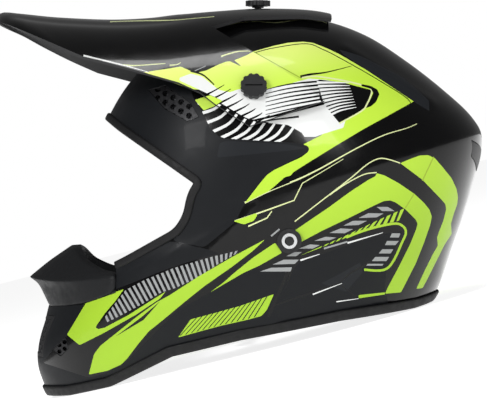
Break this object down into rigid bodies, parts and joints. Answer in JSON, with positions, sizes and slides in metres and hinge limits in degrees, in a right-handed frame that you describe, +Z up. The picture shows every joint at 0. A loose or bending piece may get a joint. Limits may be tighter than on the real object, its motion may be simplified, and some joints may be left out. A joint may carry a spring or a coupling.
{
  "type": "motocross helmet",
  "caption": "Off-road riding helmet with a long vented chin bar, a wide eye port, a tilting peak, a foam and fabric lining and a ring-buckled chin strap.",
  "frame": {"origin": "bottom centre of the bounding box, on the surface that the rim stands on", "axes": "+Z up as the helmet stands on its rim, -Y the front (chin bar and peak), +X the wearer's left"},
  "size_m": [0.236, 0.3497, 0.2757],
  "materials": {
    "shell_gloss": "gloss black moulded shell with printed graphics in fluorescent yellow, white and grey",
    "peak_gloss": "gloss black moulded peak with the same graphics",
    "rubber_black": "matt black rubber bead",
    "guard_rubber": "matt black moulded rubber",
    "vent_plastic": "matt black moulded plastic",
    "vent_mesh": "black coated metal mesh",
    "foam_liner": "black moulded bead foam",
    "pad_fabric": "black brushed knit over foam",
    "webbing": "black woven webbing",
    "steel_bright": "bright plated steel",
    "screw_plastic": "black glass-filled nylon",
    "brass_thread": "turned brass",
    "snap_plastic": "dark grey nylon"
  },
  "bodies": {
    "root": {"outer_shell": "shell_gloss", "neck_trim": "rubber_black", "port_trim": "rubber_black", "nose_guard": "guard_rubber", "mouth_vent_frame": "vent_plastic", "mouth_vent_grille": "vent_mesh", "brow_vent_left": "vent_mesh", "brow_vent_right": "vent_mesh", "rear_vent_left": "vent_plastic", "rear_vent_right": "vent_plastic", "chin_vent_left": "vent_mesh", "chin_vent_right": "vent_mesh", "eps_crown_liner": "foam_liner", "eps_chin_liner": "foam_liner", "cheek_eps_left": "foam_liner", "cheek_eps_right": "foam_liner", "crown_pad": "pad_fabric", "neck_roll": "pad_fabric", "cheek_pad_left": "pad_fabric", "cheek_pad_right": "pad_fabric", "screw_inserts": "brass_thread", "peak_washers": "rubber_black", "strap_anchor_bolts": "steel_bright", "strap_anchor_washers": "screw_plastic", "cheek_snap_studs": "snap_plastic", "cheek_snap_sockets": "snap_plastic", "chin_strap_left": "webbing", "chin_strap_right": "webbing"},
    "peak": {"peak": "peak_gloss"},
    "side_screw_left": {"peak_side_screw_left": "screw_plastic"},
    "side_screw_right": {"peak_side_screw_right": "screw_plastic"},
    "top_screw": {"peak_top_screw": "screw_plastic"},
    "ring_front": {"d_ring_front": "steel_bright"},
    "ring_back": {"d_ring_back": "steel_bright"}
  },
  "joints": [
    {"name": "peak_tilt", "type": "hinge", "parent": "root", "child": "peak", "pos_m": [0, 0.02335, 0.17197], "axis": [1, 0, 0], "range_deg": [-2, 6]},
    {"name": "side_screw_left_turn", "type": "hinge", "parent": "root", "child": "side_screw_left", "pos_m": [0.10817, 0.02392, 0.17418], "axis": [0.9135, 0.1008, 0.394], "continuous": true},
    {"name": "side_screw_right_turn", "type": "hinge", "parent": "root", "child": "side_screw_right", "pos_m": [-0.10817, 0.02392, 0.17418], "axis": [-0.9135, 0.1008, 0.394], "continuous": true},
    {"name": "top_screw_turn", "type": "hinge", "parent": "root", "child": "top_screw", "pos_m": [0, 0.04261, 0.23311], "axis": [0, 0.2479, 0.9688], "continuous": true},
    {"name": "ring_front_swing", "type": "hinge", "parent": "root", "child": "ring_front", "pos_m": [-0.037, -0.04177, 0.01832], "axis": [0, 0.6185, -0.7858], "range_deg": [0, 30]},
    {"name": "ring_back_swing", "type": "hinge", "parent": "root", "child": "ring_back", "pos_m": [-0.037, -0.03909, 0.02043], "axis": [0, 0.6185, -0.7858], "range_deg": [0, 30]}
  ],
  "couplings": [
    {"joint": "ring_back_swing", "follows": "ring_front_swing", "ratio": 1}
  ]
}
